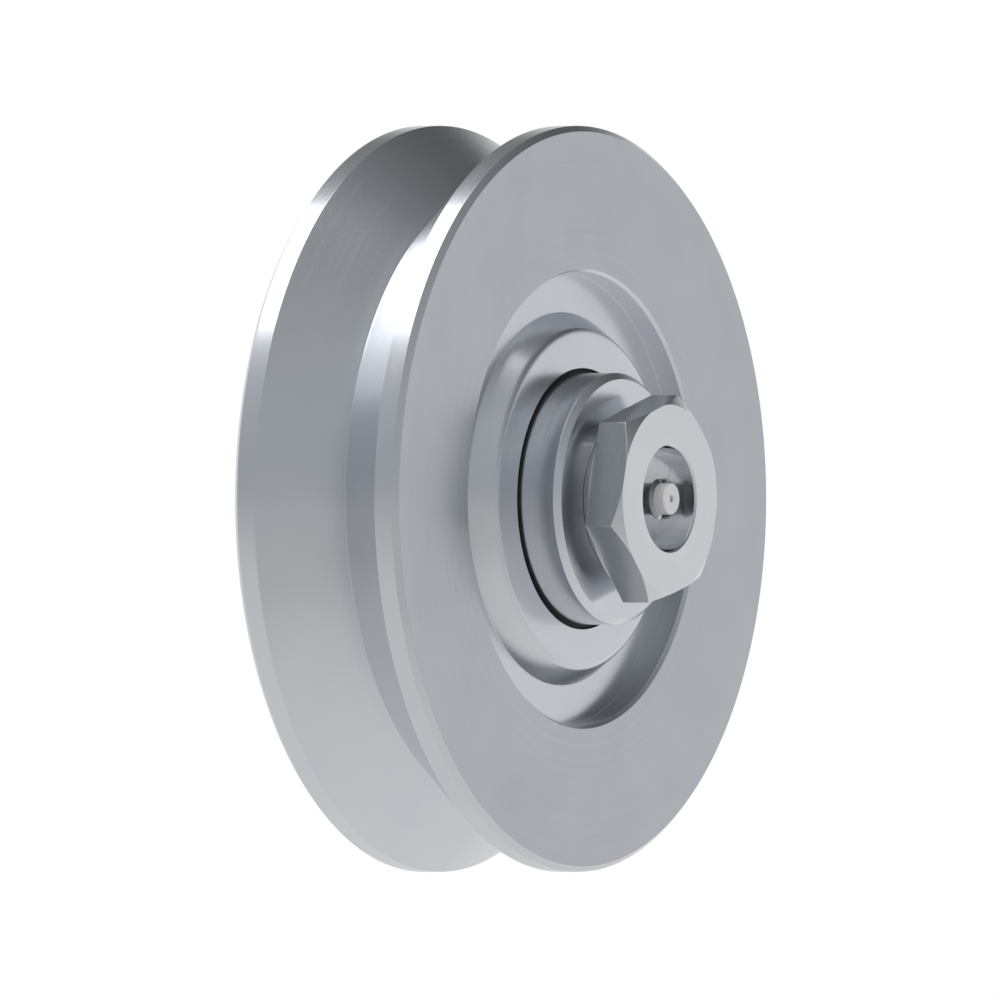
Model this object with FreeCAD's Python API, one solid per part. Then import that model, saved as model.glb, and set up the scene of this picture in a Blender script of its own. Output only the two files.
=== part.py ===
import FreeCAD, Part
import math
import os

# Sizes are in millimetres and angles in degrees. The origin is the wheel's centre, on its axis
# and midway between its faces. The wheel turns about Y, the axle's head points to -Y, and Z is up.

# Wheel, turned from one bar
wheel_diameter = 120.0
wheel_width = 30.4
rim_chamfer = 0.9
rim_land_width = 3.1
groove_depth = 10.1
recess_diameter = 73.0
recess_depth = 4.0
recess_chamfer = 0.5
hub_base_diameter = 60.0
hub_end_diameter = 54.7
hub_edge_chamfer = 0.25
hub_mouth_chamfer = 0.65
centre_rib_width = 8.0
centre_rib_bore = 36.0

# Deep groove ball bearings, one on each side of the wheel's centre rib
bearing_bore = 20.0
bearing_diameter = 42.0
bearing_width = 8.0
bearing_corner = 0.6
ball_diameter = 4.762
ball_count = 10
ball_play = 0.03
groove_to_ball_ratio = 1.04
shoulder_gap = 3.0
cage_thickness = 1.6
cage_width = 5.9
cage_pocket_play = 0.12
shield_thickness = 0.35
shield_ledge = 0.9
shield_seat_depth = 1.0
shield_rim_width = 1.0
shield_dish = 0.4
shield_running_gap = 0.15

# Spacers, which clamp the inner rings and close the hub, and their rubber dust seals
spacer_diameter = 40.5
spacer_stand_out = 7.2
spacer_chamfer = 1.0
spacer_boss_diameter = 26.4
spacer_running_gap = 0.4
seal_groove_depth = 1.7
seal_width = 1.2
seal_side_play = 0.05
seal_lip_gap = 0.08
seal_lip_width = 0.6
seal_set_back = 0.3

# Distance tube between the two inner rings
tube_diameter = 24.8
tube_grease_groove_width = 4.0
tube_grease_groove_depth = 0.9
tube_grease_hole_diameter = 2.5
tube_grease_hole_count = 4

# Axle bolt
shank_play = 0.02
collar_diameter = 24.6
collar_height = 2.4
washer_face_diameter = 29.8
washer_face_height = 0.5
head_across_flats = 30.0
head_height = 6.1
head_face_diameter = 30.3
head_chamfer_angle = 30.0
head_corner_angle = 14.7
head_recess_diameter = 16.8
head_recess_depth = 6.0
head_recess_chamfer = 0.3
thread_length = 20.0
thread_relief_width = 2.5
thread_relief_depth = 1.6
thread_end_chamfer = 1.6
grease_channel_diameter = 4.0
grease_channel_overrun = 2.0
drill_point_angle = 118.0
cross_drill_diameter = 3.0

# Snap ring that keeps the rear spacer on the axle
clip_thickness = 1.2
clip_side_play = 0.05
clip_groove_depth = 0.48
clip_band_width = 2.4
clip_eccentricity = 0.5
clip_gap = 4.5
clip_ear_diameter = 4.0
clip_ear_trim = 0.4
clip_ear_hole_diameter = 1.8
clip_pocket_diameter = 30.0
clip_pocket_depth = 2.0

# Grease nipple with its check ball and spring
nipple_stand_out = 0.4
nipple_tip_diameter = 5.1
nipple_tip_length = 1.9
nipple_tip_round = 0.25
nipple_head_diameter = 6.5
nipple_head_length = 2.55
nipple_head_band = 0.2
nipple_neck_diameter = 5.2
nipple_stem_diameter = 6.0
nipple_stem_length = 5.5
nipple_mouth_diameter = 1.2
nipple_mouth_length = 0.5
nipple_chamber_diameter = 2.2
nipple_chamber_length = 4.6
nipple_outlet_diameter = 1.1
check_ball_diameter = 1.8
check_ball_play = 0.03
spring_diameter = 1.7
spring_wire_diameter = 0.26
spring_half_turns = 10
spring_play = 0.03

# Places along the axle that several pieces share
ORIGIN = FreeCAD.Vector(0, 0, 0)
AXLE = FreeCAD.Vector(0, 1, 0)
wheel_radius = wheel_diameter / 2
face = wheel_width / 2
bearing_outer_face = centre_rib_width / 2 + bearing_width
bearing_middle = centre_rib_width / 2 + bearing_width / 2
pitch_radius = (bearing_bore + bearing_diameter) / 4
ball_radius = ball_diameter / 2
raceway_radius = ball_radius * groove_to_ball_ratio
inner_shoulder = pitch_radius - shoulder_gap / 2
outer_shoulder = pitch_radius + shoulder_gap / 2
shield_seat_radius = outer_shoulder + shield_ledge
spacer_end = face + spacer_stand_out
shank_radius = bearing_bore / 2 - shank_play
head_back = -(spacer_end + collar_height + washer_face_height)
head_front = head_back - head_height
recess_floor = head_front + head_recess_depth
nipple_tip = head_front - nipple_stand_out
nipple_chamber_start = nipple_tip + nipple_mouth_length
clip_seat = spacer_end - clip_pocket_depth
axle_end = spacer_end + thread_length


def at(radius, y):
    """A point of an outline, at this distance from the axis and this place along it."""
    return FreeCAD.Vector(radius, y, 0)


def turned(start, *path):
    """A solid turned about Y. Each step of its outline is a point, or an arc's (middle, end)."""
    edges = []
    here = start
    for step in path + (start,):
        if isinstance(step, tuple):
            edges.append(Part.Arc(here, step[0], step[1]).toShape())
            here = step[1]
        else:
            edges.append(Part.LineSegment(here, step).toShape())
            here = step
    return Part.Face(Part.Wire(edges)).revolve(ORIGIN, AXLE, 360)


def rod(radius, centre, direction, length):
    """A cylinder whose middle is at centre, used for cross drilling."""
    start = centre - direction * (length / 2)
    return Part.makeCylinder(radius, length, start, direction)


def spoke(angle):
    """The direction at this angle round the axle, from +X towards +Z."""
    turn = math.radians(angle)
    return FreeCAD.Vector(math.cos(turn), 0, math.sin(turn))


def to_front(shape):
    """The same piece on the head's side of the wheel."""
    return shape.mirror(ORIGIN, AXLE)


def wheel_side(side):
    """One half of the wheel's outline, from the bore's rib out to the bottom of the V."""
    bore = bearing_diameter / 2
    hub_end = hub_end_diameter / 2
    recess = recess_diameter / 2
    land_start = face - rim_chamfer
    floor = face - recess_depth
    places = [
        (centre_rib_bore / 2, centre_rib_width / 2),
        (bore, centre_rib_width / 2),
        (bore, face - hub_mouth_chamfer),
        (bore + hub_mouth_chamfer, face),
        (hub_end - hub_edge_chamfer, face),
        (hub_end, face - hub_edge_chamfer),
        (hub_base_diameter / 2, floor),
        (recess, floor),
        (recess, face - recess_chamfer),
        (recess + recess_chamfer, face),
        (wheel_radius - rim_chamfer, face),
        (wheel_radius, land_start),
        (wheel_radius, land_start - rim_land_width),
    ]
    return [at(radius, side * y) for radius, y in places]


def wheel_body():
    """Flanged wheel with a V groove, a dished recess on each face and a stepped hub bore."""
    bottom = [at(wheel_radius - groove_depth, 0)]
    return turned(*wheel_side(1), *bottom, *reversed(wheel_side(-1)))


def bearing_outer_ring():
    """Outer ring about its own middle, with the shield's seat on its +Y side."""
    outside = bearing_diameter / 2
    half = bearing_width / 2
    corner = bearing_corner
    seat = shield_seat_radius
    seat_floor = half - shield_seat_depth
    bottom = pitch_radius + ball_radius + ball_play
    lip = math.sqrt(raceway_radius**2 - (outer_shoulder - bottom + raceway_radius) ** 2)
    return turned(
        at(outer_shoulder, -half),
        at(outside - corner, -half),
        at(outside, -half + corner),
        at(outside, half - corner),
        at(outside - corner, half),
        at(seat, half),
        at(seat, seat_floor),
        at(outer_shoulder, seat_floor),
        at(outer_shoulder, lip),
        (at(bottom, 0), at(outer_shoulder, -lip)),
    )


def bearing_inner_ring():
    """Inner ring about its own middle."""
    inside = bearing_bore / 2
    half = bearing_width / 2
    corner = bearing_corner
    bottom = pitch_radius - ball_radius - ball_play
    lip = math.sqrt(raceway_radius**2 - (bottom + raceway_radius - inner_shoulder) ** 2)
    return turned(
        at(inside + corner, -half),
        at(inside, -half + corner),
        at(inside, half - corner),
        at(inside + corner, half),
        at(inner_shoulder, half),
        at(inner_shoulder, lip),
        (at(bottom, 0), at(inner_shoulder, -lip)),
        at(inner_shoulder, -half),
    )


def bearing_shield():
    """Dished sheet ring, seated in the outer ring and clear of the inner one."""
    outside = shield_seat_radius
    inside = inner_shoulder + shield_running_gap
    bend = outside - shield_rim_width
    under_bend = bend - shield_thickness * math.tan(math.radians(45 / 2))
    seat = bearing_width / 2 - shield_seat_depth
    top = seat + shield_thickness
    return turned(
        at(outside, seat),
        at(outside, top),
        at(bend, top),
        at(bend - shield_dish, top + shield_dish),
        at(inside, top + shield_dish),
        at(inside, seat + shield_dish),
        at(under_bend - shield_dish, seat + shield_dish),
        at(under_bend, seat),
    )


def ball_spokes():
    """The direction of each of one bearing's balls, seen from its middle."""
    return [spoke(360 * (index + 0.5) / ball_count) for index in range(ball_count)]


def bearing_cage():
    """Ring with a round pocket for each ball."""
    inner = pitch_radius - cage_thickness / 2
    outer = pitch_radius + cage_thickness / 2
    half = cage_width / 2
    ring = turned(at(inner, -half), at(outer, -half), at(outer, half), at(inner, half))
    pocket = ball_radius + cage_pocket_play
    pockets = [Part.makeSphere(pocket, way * pitch_radius, way) for way in ball_spokes()]
    return ring.cut(pockets)


def bearing_pieces():
    """One bearing's pieces by name, about its own middle, with its shield towards +Y."""
    pieces = {
        "bearing_outer_ring": bearing_outer_ring(),
        "bearing_inner_ring": bearing_inner_ring(),
        "bearing_shield": bearing_shield(),
        "bearing_cage": bearing_cage(),
    }
    for number, way in enumerate(ball_spokes(), 1):
        pieces[f"ball_{number:02d}"] = Part.makeSphere(ball_radius, way * pitch_radius)
    return pieces


def rear_spacer_blank():
    """Turned spacer of the +Y side: its boss meets the inner ring, its flange fills the hub's mouth."""
    inside = bearing_bore / 2
    outside = spacer_diameter / 2
    flange_start = bearing_outer_face + spacer_running_gap
    groove_end = face - seal_set_back
    groove_start = groove_end - seal_width - 2 * seal_side_play
    groove_bottom = outside - seal_groove_depth
    return turned(
        at(inside, bearing_outer_face),
        at(spacer_boss_diameter / 2, bearing_outer_face),
        at(spacer_boss_diameter / 2, flange_start),
        at(outside, flange_start),
        at(outside, groove_start),
        at(groove_bottom, groove_start),
        at(groove_bottom, groove_end),
        at(outside, groove_end),
        at(outside, spacer_end - spacer_chamfer),
        at(outside - spacer_chamfer, spacer_end),
        at(inside, spacer_end),
    )


def rear_spacer():
    """Rear spacer, with the pocket that the snap ring lies in."""
    pocket = Part.makeCylinder(
        clip_pocket_diameter / 2, clip_pocket_depth, FreeCAD.Vector(0, clip_seat, 0), AXLE
    )
    return rear_spacer_blank().cut(pocket)


def rear_dust_seal():
    """Rubber ring in the spacer's groove, with a lip that runs just clear of the hub's bore."""
    inside = spacer_diameter / 2 - seal_groove_depth
    lip = bearing_diameter / 2 - seal_lip_gap
    shoulder = spacer_diameter / 2 - seal_lip_gap
    outer_side = face - seal_set_back - seal_side_play
    inner_side = outer_side - seal_width
    return turned(
        at(inside, inner_side),
        at(shoulder, inner_side),
        at(lip, outer_side - seal_lip_width),
        at(lip, outer_side),
        at(inside, outer_side),
    )


def bearing_distance_tube():
    """Tube between the inner rings, with a grease groove inside and cross holes."""
    inside = bearing_bore / 2
    outside = tube_diameter / 2
    half = centre_rib_width / 2
    groove = tube_grease_groove_width / 2
    groove_bottom = inside + tube_grease_groove_depth
    tube = turned(
        at(inside, -half),
        at(outside, -half),
        at(outside, half),
        at(inside, half),
        at(inside, groove),
        at(groove_bottom, groove),
        at(groove_bottom, -groove),
        at(inside, -groove),
    )
    wall = outside - inside
    wall_middle = inside + wall / 2
    ways = [spoke(360 * index / tube_grease_hole_count) for index in range(tube_grease_hole_count)]
    holes = [rod(tube_grease_hole_diameter / 2, way * wall_middle, way, wall * 2) for way in ways]
    return tube.cut(holes)


def bolt_head():
    """Hexagon with the outer corners chamfered."""
    corner_radius = head_across_flats / 2 / math.cos(math.radians(30))
    corners = [spoke(head_corner_angle + 60 * index) * corner_radius for index in range(6)]
    ring = [corner + AXLE * head_front for corner in corners]
    hexagon = Part.Face(Part.makePolygon(ring + ring[:1])).extrude(AXLE * head_height)
    reach = corner_radius - head_face_diameter / 2
    slope = reach * math.tan(math.radians(head_chamfer_angle))
    chamfer = turned(
        at(0, head_front),
        at(head_face_diameter / 2, head_front),
        at(head_face_diameter / 2 + reach * 2, head_front + slope * 2),
        at(head_face_diameter / 2 + reach * 2, head_back),
        at(0, head_back),
    )
    return hexagon.common(chamfer)


def bolt_shank():
    """Washer face, collar, bearing seat, snap ring groove and threaded end."""
    collar_front = -(spacer_end + collar_height)
    clip_groove = shank_radius - clip_groove_depth
    clip_groove_end = clip_seat + clip_thickness + 2 * clip_side_play
    relief = shank_radius - thread_relief_depth
    relief_end = spacer_end + thread_relief_width
    return turned(
        at(0, head_back),
        at(washer_face_diameter / 2, head_back),
        at(washer_face_diameter / 2, collar_front),
        at(collar_diameter / 2, collar_front),
        at(collar_diameter / 2, -spacer_end),
        at(shank_radius, -spacer_end),
        at(shank_radius, clip_seat),
        at(clip_groove, clip_seat),
        at(clip_groove, clip_groove_end),
        at(shank_radius, clip_groove_end),
        at(shank_radius, spacer_end),
        at(relief, spacer_end),
        at(relief, relief_end - thread_relief_depth),
        at(shank_radius, relief_end),
        at(shank_radius, axle_end - thread_end_chamfer),
        at(shank_radius - thread_end_chamfer, axle_end),
        at(0, axle_end),
    )


def grease_way():
    """What is bored out of the axle from its head: recess, nipple seat and blind channel."""
    recess = head_recess_diameter / 2
    stem = nipple_stem_diameter / 2
    stem_end = recess_floor + nipple_stem_length
    channel = grease_channel_diameter / 2
    point = channel / math.tan(math.radians(drill_point_angle / 2))
    return turned(
        at(0, head_front),
        at(recess + head_recess_chamfer, head_front),
        at(recess, head_front + head_recess_chamfer),
        at(recess, recess_floor),
        at(stem, recess_floor),
        at(stem, stem_end),
        at(channel, stem_end),
        at(channel, grease_channel_overrun),
        at(0, grease_channel_overrun + point),
    )


def axle_bolt():
    """Hexagon bolt that is the wheel's axle, bored to carry grease to the bearings."""
    cross_drill = rod(cross_drill_diameter / 2, ORIGIN, spoke(90), bearing_bore * 2)
    return bolt_head().fuse(bolt_shank()).cut([grease_way(), cross_drill])


def axle_circlip():
    """Snap ring: a band that narrows to two eyed ears, open between them."""
    bottom = FreeCAD.Vector(0, clip_seat + clip_side_play, 0)
    inner = shank_radius - clip_groove_depth
    outer = inner + clip_band_width - clip_eccentricity
    sunk = bottom - FreeCAD.Vector(0, 0, clip_eccentricity)
    band = Part.makeCylinder(outer, clip_thickness, sunk, AXLE)
    ear = clip_ear_diameter / 2
    ear_x = clip_gap / 2 + ear - clip_ear_trim
    ear_radius = inner + ear
    ear_z = math.sqrt(ear_radius**2 - ear_x**2)
    places = [bottom + FreeCAD.Vector(side * ear_x, 0, ear_z) for side in (-1, 1)]
    ears = [Part.makeCylinder(ear, clip_thickness, place, AXLE) for place in places]
    eyes = [
        Part.makeCylinder(clip_ear_hole_diameter / 2, clip_thickness, place, AXLE)
        for place in places
    ]
    bore = Part.makeCylinder(inner, clip_thickness, bottom, AXLE)
    gap_corner = bottom - FreeCAD.Vector(clip_gap / 2, 0, 0)
    gap = Part.makeBox(clip_gap, clip_thickness, clip_pocket_diameter / 2, gap_corner)
    return band.fuse(ears).cut([bore, gap] + eyes)


def grease_nipple():
    """Nipple with a flat tip and a flared head, hollow for its check ball and spring."""
    tip = nipple_tip_diameter / 2
    tip_end = nipple_tip + nipple_tip_length
    rounding = nipple_tip_round
    round_middle = rounding * (1 - math.sqrt(0.5))
    head = nipple_head_diameter / 2
    head_end = nipple_tip + nipple_head_length
    neck = nipple_neck_diameter / 2
    stem = nipple_stem_diameter / 2
    stem_end = recess_floor + nipple_stem_length
    mouth = nipple_mouth_diameter / 2
    chamber = nipple_chamber_diameter / 2
    chamber_end = nipple_chamber_start + nipple_chamber_length
    outlet = nipple_outlet_diameter / 2
    return turned(
        at(mouth, nipple_tip),
        at(tip - rounding, nipple_tip),
        (at(tip - round_middle, nipple_tip + round_middle), at(tip, nipple_tip + rounding)),
        at(tip, tip_end),
        at(head, head_end - nipple_head_band),
        at(head, head_end),
        at(neck, head_end),
        at(neck, recess_floor),
        at(stem, recess_floor),
        at(stem, stem_end),
        at(outlet, stem_end),
        at(outlet, chamber_end),
        at(chamber, chamber_end),
        at(chamber, nipple_chamber_start + chamber - mouth),
        at(mouth, nipple_chamber_start),
    )


def check_ball_centre():
    """Where the ball lies on its 45 degree seat, with its play."""
    seat_apex = nipple_chamber_start - nipple_mouth_diameter / 2
    return seat_apex + (check_ball_diameter / 2 + check_ball_play) * math.sqrt(2)


def nipple_check_ball():
    """Ball that closes the nipple's mouth."""
    return Part.makeSphere(check_ball_diameter / 2, FreeCAD.Vector(0, check_ball_centre(), 0))


def nipple_spring():
    """Coil spring behind the check ball, wound in half turns that tilt to one side and the other."""
    wire = spring_wire_diameter / 2
    coil = spring_diameter / 2 - wire
    reach = check_ball_diameter / 2 + wire + spring_play
    start = check_ball_centre() + math.sqrt(reach**2 - coil**2)
    end = nipple_chamber_start + nipple_chamber_length - wire - spring_play
    step = (end - start) / spring_half_turns
    tilt = math.asin(step / 2 / coil)
    half_turns = []
    for index in range(spring_half_turns):
        side = 1 if index % 2 == 0 else -1
        middle = AXLE * (start + step * (index + 0.5))
        outward = FreeCAD.Vector(side * math.cos(tilt), -math.sin(tilt), 0)
        axis = FreeCAD.Vector(side * math.sin(tilt), math.cos(tilt), 0)
        ring = Part.makeCircle(wire, middle + outward * coil, FreeCAD.Vector(0, 0, 1))
        half_turns.append(Part.Face(Part.Wire(ring)).revolve(middle, axis, 180))
    return half_turns[0].fuse(half_turns[1:])


def all_pieces():
    """Every piece of the wheel, by its node's name."""
    pieces = {"wheel_body": wheel_body()}
    for name, shape in bearing_pieces().items():
        placed = shape.copy()
        placed.translate(AXLE * bearing_middle)
        pieces[f"front_{name}"] = to_front(placed)
        pieces[f"rear_{name}"] = placed
    pieces["front_spacer"] = to_front(rear_spacer_blank())
    pieces["rear_spacer"] = rear_spacer()
    pieces["front_dust_seal"] = to_front(rear_dust_seal())
    pieces["rear_dust_seal"] = rear_dust_seal()
    pieces["bearing_distance_tube"] = bearing_distance_tube()
    pieces["axle_bolt"] = axle_bolt()
    pieces["axle_circlip"] = axle_circlip()
    pieces["grease_nipple"] = grease_nipple()
    pieces["nipple_check_ball"] = nipple_check_ball()
    pieces["nipple_spring"] = nipple_spring()
    return pieces


os.makedirs("parts", exist_ok=True)
for node, piece in all_pieces().items():
    piece.exportStep(f"parts/{node}.step")
    print(f"{node}: {len(piece.Solids)} solid, {piece.Volume:.1f} cubic millimetres")
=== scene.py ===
"""Meshes, metal finishes and a studio for a V groove wheel, built round its CAD frame."""

import math
from types import SimpleNamespace

import bmesh
import bpy
from bpy.props import FloatProperty, FloatVectorProperty, IntProperty, PointerProperty
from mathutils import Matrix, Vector


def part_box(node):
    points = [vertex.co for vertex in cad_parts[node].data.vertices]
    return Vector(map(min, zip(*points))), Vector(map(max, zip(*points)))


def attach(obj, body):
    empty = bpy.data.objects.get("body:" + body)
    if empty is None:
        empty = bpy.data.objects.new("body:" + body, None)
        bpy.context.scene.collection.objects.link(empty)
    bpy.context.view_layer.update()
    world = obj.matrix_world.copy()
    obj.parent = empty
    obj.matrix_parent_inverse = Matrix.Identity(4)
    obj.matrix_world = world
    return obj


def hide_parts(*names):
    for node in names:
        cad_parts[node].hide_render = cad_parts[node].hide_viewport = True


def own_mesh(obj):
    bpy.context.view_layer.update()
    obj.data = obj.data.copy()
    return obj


bl_info = {
    "name": "V groove wheel",
    "version": (1, 0, 0),
    "blender": (4, 5, 0),
    "location": "3D View > Sidebar > Wheel",
    "description": "Turned pieces, metal finishes and a studio for a V groove wheel",
    "category": "Object",
}

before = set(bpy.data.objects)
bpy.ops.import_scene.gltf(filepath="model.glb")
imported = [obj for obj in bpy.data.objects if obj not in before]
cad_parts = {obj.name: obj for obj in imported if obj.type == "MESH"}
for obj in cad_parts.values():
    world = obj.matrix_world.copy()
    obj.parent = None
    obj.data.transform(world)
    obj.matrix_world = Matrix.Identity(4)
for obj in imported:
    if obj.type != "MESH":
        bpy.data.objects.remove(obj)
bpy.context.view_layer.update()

MM = 0.001


def hex_colour(code):
    """An sRGB hex colour such as #c0c4c8 as linear red, green, blue and alpha."""
    channels = [int(code[start : start + 2], 16) / 255 for start in (1, 3, 5)]
    linear = [c / 12.92 if c <= 0.04045 else ((c + 0.055) / 1.055) ** 2.4 for c in channels]
    return (*linear, 1.0)


def box_mm(node):
    """Lowest and highest corner of a CAD node, in millimetres."""
    return [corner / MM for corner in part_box(node)]


WHEEL_LOW, WHEEL_HIGH = box_mm("wheel_body")
BOLT_LOW, BOLT_HIGH = box_mm("axle_bolt")
SPACER_LOW, SPACER_HIGH = box_mm("rear_spacer")
NIPPLE_LOW, NIPPLE_HIGH = box_mm("grease_nipple")
SPRING_LOW, SPRING_HIGH = box_mm("nipple_spring")

# Sizes and colours


def length_property(name, description, millimetres, lowest=0.0):
    """A length that a user may change, kept in metres and shown in the scene's unit."""
    return FloatProperty(
        name=name,
        description=description,
        default=millimetres * MM,
        min=lowest * MM,
        unit="LENGTH",
        precision=5,
    )


def angle_property(name, description, degrees):
    """An angle that a user may change, kept in radians and shown in degrees."""
    return FloatProperty(
        name=name, description=description, default=math.radians(degrees), subtype="ANGLE"
    )


def count_property(name, description, count, lowest, highest):
    """A whole number that a user may change."""
    return IntProperty(name=name, description=description, default=count, min=lowest, max=highest)


def colour_property(name, description, code):
    """A colour that a user may change, stored linear as Blender expects."""
    return FloatVectorProperty(
        name=name,
        description=description,
        subtype="COLOR",
        size=4,
        min=0.0,
        max=1.0,
        default=hex_colour(code),
    )


class WheelSizes(bpy.types.PropertyGroup):
    """Sizes of the turned wheel."""

    diameter: length_property("Diameter", "Outside of the two lands", WHEEL_HIGH.x * 2)
    width: length_property("Width", "Over the wheel's two faces", WHEEL_HIGH.y * 2)
    groove_depth: length_property("Groove depth", "From the lands to the bottom of the V", 10.1)
    land_width: length_property("Land width", "Flat rim beside the V", 3.1)
    rim_chamfer: length_property("Rim chamfer", "Bevel between land and face", 0.9)
    recess_diameter: length_property("Recess diameter", "Round recess in each face", 73.0)
    recess_depth: length_property("Recess depth", "How deep the recess is turned", 4.0)
    recess_chamfer: length_property("Recess chamfer", "Bevel round the recess's mouth", 0.5)
    hub_foot: length_property("Hub foot", "Hub's diameter at the recess's floor", 60.0)
    hub_end: length_property("Hub end", "Where hub's side and end would meet", 54.5)
    hub_round: length_property("Hub round", "Radius between hub's side and end", 1.5)
    hub_bore: length_property("Hub bore", "Seat of the bearings' outer rings", 42.0)
    rib_bore: length_property("Rib bore", "Hole in the rib between the bearings", 36.0)
    rib_width: length_property("Rib width", "Rib that keeps the bearings apart", 8.0)
    edge_round: length_property("Edge round", "Radius that deburring leaves on edges", 0.06)
    steps_round: count_property("Steps round", "Faces round a turned piece", 288, 48, 720)


class SpacerSizes(bpy.types.PropertyGroup):
    """Sizes of the two spacers and of the rubber seals that they carry."""

    bore: length_property("Bore", "Hole that the axle goes through", 20.0)
    boss: length_property("Boss", "Diameter that bears on the inner ring", 26.4)
    running_gap: length_property("Running gap", "From the spacer to the bearing's shield", 0.4)
    chamfer: length_property("Chamfer", "Bevel round the spacer's end", 1.0)
    pocket: length_property("Pocket", "Rear spacer's snap ring pocket", 30.0)
    pocket_depth: length_property("Pocket depth", "How deep that pocket is", 2.0)
    seal_set_back: length_property("Seal set back", "From the hub's end in to the groove", 0.3)
    seal_width: length_property("Seal width", "Along the axle", 1.2)
    seal_side_play: length_property("Seal side play", "On each side of the seal", 0.05)
    seal_depth: length_property("Seal depth", "How deep the seal's groove is", 1.7)
    seal_lip_width: length_property("Seal lip width", "Lip that runs near the hub's bore", 0.6)
    seal_lip_gap: length_property("Seal lip gap", "From the lip to the hub's bore", 0.08)
    seal_hollow: length_property("Seal hollow", "Dip between the seal's two beads", 0.07)


class BoltSizes(bpy.types.PropertyGroup):
    """Sizes of the hexagon bolt that is the axle."""

    across_flats: length_property("Across flats", "Spanner size of the hexagon", 30.0)
    corner_angle: angle_property("Corner angle", "First corner's turn from +X towards +Z", 14.7)
    corner_round: length_property("Corner round", "Radius on the hexagon's corners", 0.25)
    head_height: length_property("Head height", "Hexagon without its washer face", 6.1)
    head_face: length_property("Head face", "The head's flat front", 30.3)
    head_chamfer: angle_property("Head chamfer", "Slope of the hexagon's front corners", 30.0)
    washer_face: length_property("Washer face", "Round face behind the head", 29.8)
    washer_height: length_property("Washer height", "How far the washer face stands out", 0.5)
    collar: length_property("Collar", "Collar against the spacer", 24.6)
    shank: length_property("Shank", "Diameter of shank and thread", 19.96)
    edge_round: length_property("Edge round", "Radius on the head's edges", 0.12)
    recess_diameter: length_property("Recess diameter", "Round recess in the head", 16.8)
    recess_depth: length_property("Recess depth", "How deep the head's recess is", 6.0)
    recess_chamfer: length_property("Recess chamfer", "Bevel round the recess's mouth", 0.3)
    stem_bore: length_property("Stem bore", "Hole for the nipple's stem", 6.0)
    stem_depth: length_property("Stem depth", "How deep that hole is", 5.5)
    grease_bore: length_property("Grease bore", "Hole along the axis", 4.0)
    clip_groove: length_property("Clip groove", "Diameter at the snap ring's groove", 19.0)
    clip_groove_start: length_property("Clip groove start", "Back from the spacer's end", 2.0)
    clip_groove_end: length_property("Clip groove end", "Back from the spacer's end", 0.7)
    thread_pitch: length_property("Thread pitch", "From one crest to the next", 2.5, 0.5)
    thread_depth: length_property("Thread depth", "From crest to root", 1.53)
    thread_end: length_property("Thread end", "Relief and end face", 16.76)
    relief_length: length_property("Relief length", "Plain stretch before the thread", 0.9)
    steps_round: count_property("Steps round", "Faces round the bolt", 192, 48, 720)


class NippleSizes(bpy.types.PropertyGroup):
    """Sizes of the grease nipple and of the spring in it."""

    tip: length_property("Tip", "Diameter of the plain tip", 5.1)
    tip_length: length_property("Tip length", "From the tip to the start of the cone", 1.9)
    head: length_property("Head", "Largest diameter, which the grease gun grips", 6.5)
    cone_end: length_property("Cone end", "From the tip to the end of the cone", 2.35)
    head_length: length_property("Head length", "From the tip to the neck", 2.55)
    neck: length_property("Neck", "Diameter behind the head", 5.2)
    stem: length_property("Stem", "Diameter in the bolt", 6.0)
    mouth: length_property("Mouth", "Hole in the tip", 1.2)
    mouth_length: length_property("Mouth length", "From the tip to the ball's seat", 0.5)
    outlet: length_property("Outlet", "Hole behind the spring", 1.1)
    chamber: length_property("Chamber", "Diameter round ball and spring", 2.2)
    chamber_start: length_property("Chamber start", "From the tip", 1.0)
    chamber_end: length_property("Chamber end", "From the tip", 5.1)
    wire: length_property("Wire", "Diameter of the spring's wire", 0.26)
    ball_travel: length_property("Ball travel", "How far the check ball goes in", 0.6)
    turns: count_property("Turns", "Turns of the spring", 5, 2, 12)
    steps_round: count_property("Steps round", "Faces round the nipple", 96, 24, 360)


class FinishColours(bpy.types.PropertyGroup):
    """Colours of the finishes."""

    tread: colour_property("Tread steel", "Zinc plated steel of tread and recess", "#d8dade")
    flange: colour_property("Flange face steel", "Outer ring of the wheel's faces", "#bec1c5")
    spacer: colour_property("Spacer steel", "Turned spacers", "#dddfe3")
    bolt: colour_property("Bolt steel", "Hexagon bolt", "#dcdee0")
    # The nipple's near white is painted light that keeps it bright in its recess
    nipple: colour_property("Nipple plating", "White plated grease nipple", "#f8f8f9")
    rubber: colour_property("Seal rubber", "Rubber of the dust seals", "#141415")
    floor: colour_property("Floor", "Plain floor", "#f4f4f4")


SIZE_GROUPS = {
    "wheel_sizes": WheelSizes,
    "spacer_sizes": SpacerSizes,
    "bolt_sizes": BoltSizes,
    "nipple_sizes": NippleSizes,
}


def sizes_of(piece):
    """A piece's sizes by name: lengths in millimetres, angles in radians and whole numbers."""
    group = getattr(bpy.context.scene, f"{piece}_sizes")
    values = {}
    for name, kind in group.bl_rna.properties.items():
        if kind.type in ("FLOAT", "INT"):
            value = getattr(group, name)
            values[name] = value / MM if kind.unit == "LENGTH" else value
    return SimpleNamespace(**values)


def finish_colours():
    """The colours as they are set in the scene."""
    return bpy.context.scene.finish_colours


# Outlines and swept meshes, in millimetres until the mesh is made


def arc_points(before, corner, after, radius, steps):
    """The corner of an outline rounded by an arc, always with steps + 1 points."""
    back = (before - corner).normalized()
    ahead = (after - corner).normalized()
    half = back.angle(ahead) / 2
    reach = radius / math.tan(half)
    reach = min(reach, 0.45 * (before - corner).length, 0.45 * (after - corner).length)
    start = corner + back * reach
    end = corner + ahead * reach
    points = []
    for step in range(steps + 1):
        share = step / steps
        low = start.lerp(corner, share)
        high = corner.lerp(end, share)
        points.append(low.lerp(high, share))
    return points


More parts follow.
